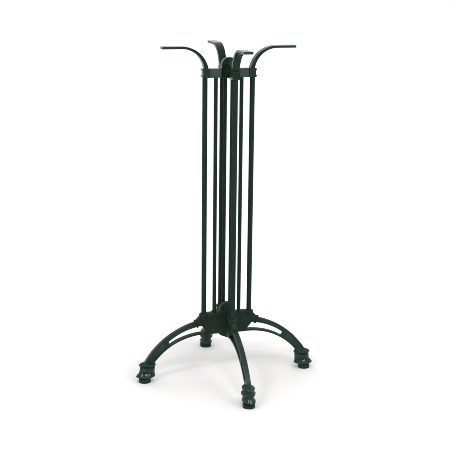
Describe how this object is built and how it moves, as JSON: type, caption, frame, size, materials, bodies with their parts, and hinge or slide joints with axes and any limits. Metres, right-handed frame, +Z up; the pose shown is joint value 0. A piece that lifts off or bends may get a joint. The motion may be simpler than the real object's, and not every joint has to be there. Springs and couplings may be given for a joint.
{
  "type": "table base",
  "caption": "Bar-height table base with arched cast legs on lobed feet, a column of slim round posts and curved flat arms that screw to a table top.",
  "frame": {"origin": "on the floor, under the axis of the column", "axes": "+Z up along the column, legs and arms along +X, -X, +Y and -Y; the bolt heads face -Y"},
  "size_m": [0.606, 0.606, 1.083],
  "materials": {
    "green_casting": "semi-gloss enamel over a cast surface",
    "green_post": "semi-gloss enamel on drawn bar",
    "green_pad": "semi-gloss enamel",
    "green_fastener": "painted over with the same enamel"
  },
  "bodies": {
    "root": {"side_leg_frame": "green_casting", "front_leg": "green_casting", "back_leg": "green_casting", "side_arm_frame": "green_casting", "front_arm": "green_casting", "back_arm": "green_casting", "outer_post_left": "green_post", "outer_post_right": "green_post", "outer_post_front": "green_post", "outer_post_back": "green_post", "inner_post_left": "green_post", "inner_post_right": "green_post", "inner_post_front": "green_post", "inner_post_back": "green_post", "foot_pad_left": "green_pad", "foot_pad_right": "green_pad", "foot_pad_front": "green_pad", "foot_pad_back": "green_pad", "tie_bolts": "green_fastener", "tie_nuts": "green_fastener", "tie_washers": "green_fastener"}
  },
  "joints": []
}
